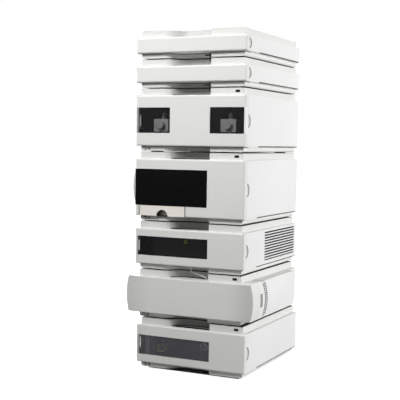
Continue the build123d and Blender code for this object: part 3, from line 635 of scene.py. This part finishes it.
class STACK_OT_finish_shells(bpy.types.Operator):
    """Paint the cabinets and give covers, lids and bases their moulded plastic"""

    bl_idname = "stack.finish_shells"
    bl_label = "Finish the shells"

    def execute(self, context):
        settings = context.scene.stack_finishes
        for module in MODULES:
            dress(paint_finish(module, settings), module + "_cabinet")
            dress(cover_finish(module, settings), module + "_cover")
            dress(strip_finish(module, settings), module + "_lid", module + "_base")
        dress(self.drawer_finish(), "sampler_drawer")
        grip = simple_finish("grip_plastic", (0.60, 0.60, 0.60), 0.42, size=0.02, stretch=(1, 1, 3),
                             contrast=0.10, specular=0.4)
        dress(grip, "sampler_door_grip")
        return {"FINISHED"}

    def drawer_finish(self):
        """Warm white plastic with painted shade in the gap along both ends."""
        low, high = low_corner("sampler_drawer"), high_corner("sampler_drawer")
        drawer = new_finish("drawer_plastic")
        x, _, _ = drawer.place()
        inset = (high.x - low.x) / 2 - abs(x - (low.x + high.x) / 2)
        # Painted shade in the gaps beside the drawer's ends.
        gap = 1.0 - drawer.climb(inset, 0.0010, 0.0019)
        mottle, grain = drawer.noise(0.05, 3.0), drawer.noise(0.0007)
        tone = (0.97 + 0.06 * mottle) * (1.0 - 0.82 * gap)
        return drawer.surface(base_color=drawer.shade((0.93, 0.885, 0.825), tone),
                              roughness=0.44 + 0.10 * mottle + 0.2 * gap, specular_ior_level=0.4,
                              normal=drawer.relief(grain, 0.00004, 0.5))


class STACK_OT_glaze(bpy.types.Operator):
    """Smoke the windows and gloss the sampler's door"""

    bl_idname = "stack.glaze"
    bl_label = "Glaze windows and door"

    def execute(self, context):
        settings = context.scene.stack_finishes
        for node in PANES:
            dress(pane_finish(node, settings), node)
        door = new_finish("door_gloss")
        haze = door.noise(0.05, 3.0)
        hairlines = door.climb(door.noise(0.003, 6.0, (14.0, 1.0, 0.5)), 0.62, 0.70)
        made = door.surface(base_color=door.shade(settings.door, 0.8 + 0.5 * haze + 1.2 * hairlines),
                            roughness=0.16 + 0.10 * haze + 0.12 * hairlines, specular_ior_level=0.06,
                            normal=door.relief(haze, 0.0001, 0.2))
        dress(made, "sampler_door")
        return {"FINISHED"}


class STACK_OT_finish_innards(bpy.types.Operator):
    """Give the pieces behind the covers their metals and plastics"""

    bl_idname = "stack.finish_innards"
    bl_label = "Finish the pieces inside"

    def execute(self, context):
        settings = context.scene.stack_finishes
        dress(simple_finish("turned_steel", settings.steel, 0.42, 0.25, 0.003, (1, 12, 1), 0.2, 0.00002),
              "pump_left_head", "pump_right_head")
        milled = simple_finish("milled_aluminium", settings.aluminium, 0.45, 0.25, 0.004,
                               (8, 1, 1), 0.16, 0.00002)
        dress(milled, "column_oven_left_heater", "column_oven_right_heater",
              "fluor_detector_lamp_house",
              "fluor_detector_bracket", "sampler_arm")
        dress(simple_finish("rack_plastic", (0.05, 0.052, 0.056), 0.5, size=0.01, contrast=0.2),
              "sampler_vial_rack")
        dress(simple_finish("catcher_plastic", (0.03, 0.03, 0.028), 0.45, size=0.003, contrast=0.25),
              "drip_catchers")
        self.finish_optics(settings)
        self.finish_flow_cell(settings)
        return {"FINISHED"}

    def finish_optics(self, settings):
        """Black anodised block with a yellow green cap."""
        optics = new_finish("optics")
        _, y, _ = optics.place()
        cap = y < low_corner("uv_detector_optics").y + 0.0055
        mottle = optics.noise(0.006, 3.0)
        black = optics.shade((0.022, 0.022, 0.024), 0.8 + 0.4 * mottle)
        made = optics.surface(base_color=optics.blend(cap, black, tuple(settings.lens)),
                              roughness=0.45 + 0.15 * mottle - 0.15 * cap,
                              normal=optics.relief(mottle, 0.00003, 0.5))
        dress(made, "uv_detector_optics")

    def finish_flow_cell(self, settings):
        """Yellow metal frame round a port whose dark colour is painted shade."""
        low, high = low_corner("fluor_detector_flow_cell"), high_corner("fluor_detector_flow_cell")
        centre = (low + high) / 2
        cell = new_finish("flow_cell")
        x, _, z = cell.place()
        out = abs(x - centre.x) / (high.x - low.x)
        out = out.math("MAXIMUM", abs(z - centre.z) / (high.z - low.z))
        rim = cell.climb(out, 0.36, 0.39)
        mottle = cell.noise(0.003, 3.0, (1, 6, 1))
        # Painted shade in the port inside the yellow frame.
        dark = cell.shade((0.03, 0.03, 0.028), 0.8 + 0.4 * mottle)
        metal = cell.shade(settings.brass, 0.9 + 0.2 * mottle)
        made = cell.surface(base_color=cell.blend(rim, dark, metal),
                            metallic=0.35 * rim, roughness=0.35 + 0.15 * mottle,
                            normal=cell.relief(mottle, 0.00002, 0.5))
        dress(made, "fluor_detector_flow_cell")


class STACK_OT_finish_trim(bpy.types.Operator):
    """Finish buttons, lamps, the drain tube and the rubber feet"""

    bl_idname = "stack.finish_trim"
    bl_label = "Finish the trim"

    def execute(self, context):
        white = simple_finish("button_white", (0.72, 0.72, 0.70), 0.35, size=0.004, contrast=0.08)
        clear = simple_finish("lens_clear", (0.62, 0.63, 0.60), 0.18, size=0.003, contrast=0.15)
        dark = simple_finish("lens_dark", (0.004, 0.004, 0.004), 0.4, size=0.004, contrast=0.3,
                             specular=0.06)
        for module in LIT:
            dress(white, module + "_power_button")
            dress(clear, module + "_pilot_lamp")
            dress(dark, module + "_status_lamp")
        dress(simple_finish("white_tube", (0.82, 0.82, 0.80), 0.32, size=0.006, contrast=0.06),
              "drain_tube")
        dress(simple_finish("foot_rubber", (0.02, 0.02, 0.02), 0.75, size=0.002, contrast=0.3,
                            bump=0.0001), "rubber_feet")
        return {"FINISHED"}


class STACK_OT_add_light_rings(bpy.types.Operator):
    """Add dark rings round the power buttons, pilot lamps and status lamps"""

    bl_idname = "stack.add_light_rings"
    bl_label = "Add rings round the lamps"

    def execute(self, context):
        width = context.scene.stack_fittings.ring_width
        dark = simple_finish("ring_plastic", (0.014, 0.014, 0.014), 0.5, size=0.003, contrast=0.2)
        for module in LIT:
            front = low_corner(module + "_lid").y
            shape = bmesh.new()
            for node in (module + "_power_button", module + "_pilot_lamp"):
                centre = middle(node)
                radius = (high_corner(node).z - low_corner(node).z) / 2
                if node.endswith("_button"):
                    radius -= 0.0012
                centre.y = front - 0.0001
                add_ring(shape, centre, radius + 0.0003 + width / 2, width)
            add_piece(module + "_button_rings", shape, STACK, dark)
            self.add_bezel(module, front, width, dark)
        return {"FINISHED"}

    def add_bezel(self, module, front, width, material):
        node = module + "_status_lamp"
        centre = middle(node)
        centre.y = front - 0.0003
        size = high_corner(node) - low_corner(node)
        shape = bmesh.new()
        scale = Matrix.Diagonal((size.x / 2 + width, size.z / 2 + width, 1.0, 1.0))
        matrix = Matrix.Translation(centre) @ Matrix.Rotation(QUARTER, 4, "X") @ scale
        made = bmesh.ops.create_grid(shape, x_segments=1, y_segments=1, size=1.0, matrix=matrix)
        bmesh.ops.bevel(shape, geom=made["verts"], offset=size.z * 0.35, offset_type="OFFSET",
                        affect="VERTICES", segments=5, profile=0.5, material=-1)
        inner = shape.faces[:]
        bmesh.ops.inset_region(shape, faces=inner, thickness=width * 0.9, use_boundary=True)
        bmesh.ops.delete(shape, geom=inner, context="FACES")
        bmesh.ops.solidify(shape, geom=shape.faces[:], thickness=0.0007)
        add_piece(module + "_status_bezel", shape, STACK, material)


class STACK_OT_add_back_fittings(bpy.types.Operator):
    """Add screws, inlet blades and port pins to the backs"""

    bl_idname = "stack.add_back_fittings"
    bl_label = "Fit the backs"

    def execute(self, context):
        settings = context.scene.stack_fittings
        steel = simple_finish("screw_steel", (0.55, 0.55, 0.56), 0.32, 1.0, 0.002, contrast=0.2)
        brass = simple_finish("pin_metal", (0.66, 0.55, 0.26), 0.28, 1.0, 0.001, contrast=0.15)
        for module in MODULES:
            node = module + "_cabinet"
            low, high = low_corner(node), high_corner(node)
            centre = middle(node)
            centre.x = middle(module + "_lid").x
            outer = HALF_WIDTH - SCREW_MARGIN
            level = BACK - PANEL_STEP + settings.screw_radius * 0.27
            shape = bmesh.new()
            for x in (-outer, -HALF_WIDTH / 3, HALF_WIDTH / 3, outer):
                for z in (low.z + SCREW_HEIGHT, high.z - SCREW_HEIGHT):
                    add_screw(shape, Vector((centre.x + x, level, z)), settings.screw_radius)
            add_piece(module + "_back_screws", shape, STACK, steel)
            self.add_contacts(module, centre, high.z - low.z, settings, brass)
        return {"FINISHED"}

    def add_contacts(self, module, centre, band, settings, material):
        """Three blades in the mains inlet and two rows of pins in each data port."""
        shape = bmesh.new()
        inlet = centre.x + HALF_WIDTH - SOCKET_MARGIN - INLET_WIDTH / 2
        for x, z in ((-0.007, -0.002), (0.007, -0.002), (0.0, 0.004)):
            place = Vector((inlet + x, BACK - 0.0022, centre.z + z))
            add_block(shape, place, (0.0018, 0.0028, 0.0042), 0.0003, 1)
        ports = max(1, int((band - 0.012) // PORT_PITCH))
        port = centre.x - HALF_WIDTH + SOCKET_MARGIN + PORT_WIDTH / 2
        turn = Matrix.Rotation(QUARTER, 4, "X")
        for row in range(ports):
            level = centre.z + (row - (ports - 1) / 2) * PORT_PITCH
            for line, count in ((0.0014, 8), (-0.0014, 7)):
                for pin in range(count):
                    across = port + (pin - (count - 1) / 2) * PIN_PITCH
                    place = Vector((across, BACK - 0.0024, level + line))
                    add_rod(shape, place, settings.pin_radius, 0.0024, turn, 6, 0.7)
        add_piece(module + "_contacts", shape, STACK, material)


class STACK_OT_add_side_strips(bpy.types.Operator):
    """Lay a dark strip in the rebate under each side wall, as painted shade"""

    bl_idname = "stack.add_side_strips"
    bl_label = "Add the side strips"

    def execute(self, context):
        # A near-black strip stands in for the shade in the rebate.
        rebate_shade = simple_finish("rebate_shade_strip", (0.07, 0.07, 0.07), 0.85, size=0.0015, contrast=0.4,
                             bump=0.0002)
        for module in MODULES:
            if module == "column_oven":
                continue
            low, high = low_corner(module + "_cabinet"), high_corner(module + "_cabinet")
            shape = bmesh.new()
            for x in (low.x + 0.0012, high.x - 0.0012):
                add_block(shape, Vector((x, (STRIP_START + STRIP_END) / 2, low.z + 0.0015)),
                          (0.0014, STRIP_END - STRIP_START, 0.0029), 0.0003)
            add_piece(module + "_side_strips", shape, STACK, rebate_shade)
        return {"FINISHED"}


class STACK_OT_add_capillaries(bpy.types.Operator):
    """Bend a steel capillary from each pump head's upper valve into the bulkhead"""

    bl_idname = "stack.add_capillaries"
    bl_label = "Add the capillaries"

    def execute(self, context):
        radius = context.scene.stack_fittings.tube_radius
        steel = simple_finish("capillary_steel", (0.62, 0.61, 0.58), 0.25, 1.0, 0.002, contrast=0.15)
        for node in ("pump_left_head", "pump_right_head"):
            low, high = low_corner(node), high_corner(node)
            bulkhead = high.y
            start = Vector(((low.x + high.x) / 2, high.y - 0.017, high.z - 0.0005))
            rise, bend = 0.004, 0.007
            shape = bmesh.new()
            bmesh.ops.create_circle(shape, cap_ends=True, radius=radius, segments=12,
                                    matrix=Matrix.Translation(start))
            lifted = self.pull(shape, shape.faces[:], (0.0, 0.0, rise))
            pivot = start + Vector((0.0, bend, rise))
            spun = bmesh.ops.spin(shape, geom=lifted, cent=pivot, axis=(1.0, 0.0, 0.0), angle=-QUARTER,
                                  steps=8)
            last = [item for item in spun["geom_last"] if isinstance(item, bmesh.types.BMFace)]
            self.pull(shape, last, (0.0, bulkhead - start.y - bend + 0.0004, 0.0))
            nut = Vector((start.x, start.y, start.z + 0.0018))
            add_rod(shape, nut, 0.0036, 0.0036, None, 6)
            add_piece(node + "_capillary", shape, STACK, steel)
        return {"FINISHED"}

    def pull(self, shape, faces, way):
        """Extrudes a cap, drops the old one and returns the new one."""
        made = bmesh.ops.extrude_face_region(shape, geom=faces)
        caps = [item for item in made["geom"] if isinstance(item, bmesh.types.BMFace)]
        corners = [item for item in made["geom"] if isinstance(item, bmesh.types.BMVert)]
        bmesh.ops.translate(shape, vec=way, verts=corners)
        bmesh.ops.delete(shape, geom=faces, context="FACES_ONLY")
        return caps


class STACK_OT_add_vial_caps(bpy.types.Operator):
    """Cap the vials in the sampler's rack"""

    bl_idname = "stack.add_vial_caps"
    bl_label = "Add the vial caps"

    def execute(self, context):
        radius = context.scene.stack_fittings.cap_radius
        blue = simple_finish("cap_blue", (0.06, 0.16, 0.38), 0.42, size=0.004, contrast=0.15)
        node = "sampler_vial_rack"
        centre, top = middle(node), high_corner(node).z
        reach = (high_corner(node).x - low_corner(node).x) / 2
        shape = bmesh.new()
        for inset, count in ((0.0124, 14), (0.031, 9)):
            for place in range(count):
                angle = 2 * math.pi * place / count
                spot = Vector((centre.x + (reach - inset) * math.cos(angle),
                               centre.y + (reach - inset) * math.sin(angle), top + 0.0013))
                verts = add_rod(shape, spot, radius, 0.0026, None, 16, 0.95)
                caps = [face for face in {f for v in verts for f in v.link_faces}
                        if len(face.verts) == 16 and face.calc_center_median().z > spot.z]
                bmesh.ops.inset_region(shape, faces=caps, thickness=radius * 0.4, depth=-0.0006)
        add_piece("sampler_vial_caps", shape, STACK, blue)
        return {"FINISHED"}


class STACK_OT_add_drawer_bowl(bpy.types.Operator):
    """Line the drawer's finger notch with a shallow bowl, darkened as painted shade"""

    bl_idname = "stack.add_drawer_bowl"
    bl_label = "Line the drawer's notch"

    def execute(self, context):
        low, high = low_corner("sampler_drawer"), high_corner("sampler_drawer")
        radius, depth = 0.0186, 0.0105
        centre = Vector(((low.x + high.x) / 2, FRONT + 0.0031, low.z + 0.0004))
        shape = bmesh.new()
        turn = Matrix.Rotation(QUARTER, 4, "X")
        bmesh.ops.create_circle(shape, cap_ends=True, radius=radius, segments=48,
                                matrix=Matrix.Translation(centre) @ turn)
        bmesh.ops.bisect_plane(shape, geom=shape.verts[:] + shape.edges[:] + shape.faces[:],
                               plane_co=centre, plane_no=(0.0, 0.0, 1.0), clear_inner=True)
        mouth = shape.faces[:]
        made = bmesh.ops.extrude_face_region(shape, geom=mouth)
        corners = [item for item in made["geom"] if isinstance(item, bmesh.types.BMVert)]
        bmesh.ops.translate(shape, vec=(0.0, depth, 0.0), verts=corners)
        bmesh.ops.scale(shape, vec=(0.82, 1.0, 0.80), space=Matrix.Translation(-centre), verts=corners)
        bmesh.ops.delete(shape, geom=mouth, context="FACES_ONLY")
        bmesh.ops.recalc_face_normals(shape, faces=shape.faces)
        bmesh.ops.solidify(shape, geom=shape.faces[:], thickness=0.0009)
        warm = new_finish("bowl_plastic")
        x, _, z = warm.place()
        across, up = x - centre.x, z - centre.z
        # The bowl's plastic is darker than the drawer's as painted shade, with a painted shadow towards
        # its rim and painted shade at its floor.
        rim = warm.climb((across * across + up * up) ** 0.5, 0.0105, 0.0150)
        floor = 1.0 - warm.climb(up, 0.0020, 0.0052)
        mottle = warm.noise(0.01, 3.0)
        tone = (0.9 + 0.2 * mottle) * (1.0 - 0.72 * rim) * (1.0 - 0.93 * floor)
        warm.surface(base_color=warm.shade((0.56, 0.52, 0.48), tone), roughness=0.45 + 0.15 * mottle,
                     specular_ior_level=0.3, normal=warm.relief(mottle, 0.00003, 0.5))
        add_piece("sampler_drawer_bowl", shape, "sampler_drawer", warm.owner)
        return {"FINISHED"}


class STACK_PT_panel(bpy.types.Panel):
    """Lists the steps and settings of the stack"""

    bl_idname = "STACK_PT_panel"
    bl_label = "Chromatography stack"
    bl_space_type = "VIEW_3D"
    bl_region_type = "UI"
    bl_category = "Stack"

    def draw(self, context):
        for step in STEPS:
            self.layout.operator(step.bl_idname)
        for key in GROUPS:
            group = getattr(context.scene, key)
            box = self.layout.box()
            for name in group.__annotations__:
                box.prop(group, name)


STEPS = (
    STACK_OT_set_camera,
    STACK_OT_set_stage,
    STACK_OT_finish_shells,
    STACK_OT_glaze,
    STACK_OT_finish_innards,
    STACK_OT_finish_trim,
    STACK_OT_add_light_rings,
    STACK_OT_add_back_fittings,
    STACK_OT_add_side_strips,
    STACK_OT_add_capillaries,
    STACK_OT_add_vial_caps,
    STACK_OT_add_drawer_bowl,
)
GROUPS = {
    "stack_finishes": StackFinishes,
    "stack_fittings": StackFittings,
    "stack_stage": StackStage,
}


def register():
    for group in GROUPS.values():
        bpy.utils.register_class(group)
    for name, group in GROUPS.items():
        setattr(bpy.types.Scene, name, PointerProperty(type=group))
    for step in STEPS:
        bpy.utils.register_class(step)
    bpy.utils.register_class(STACK_PT_panel)


def unregister():
    bpy.utils.unregister_class(STACK_PT_panel)
    for step in reversed(STEPS):
        bpy.utils.unregister_class(step)
    for name, group in GROUPS.items():
        delattr(bpy.types.Scene, name)
        bpy.utils.unregister_class(group)


def main():
    register()
    bpy.ops.stack.set_camera()
    bpy.ops.stack.set_stage()
    bpy.ops.stack.finish_shells()
    bpy.ops.stack.glaze()
    bpy.ops.stack.finish_innards()
    bpy.ops.stack.finish_trim()
    bpy.ops.stack.add_light_rings()
    bpy.ops.stack.add_back_fittings()
    bpy.ops.stack.add_side_strips()
    bpy.ops.stack.add_capillaries()
    bpy.ops.stack.add_vial_caps()
    bpy.ops.stack.add_drawer_bowl()


if __name__ == "__main__":
    main()
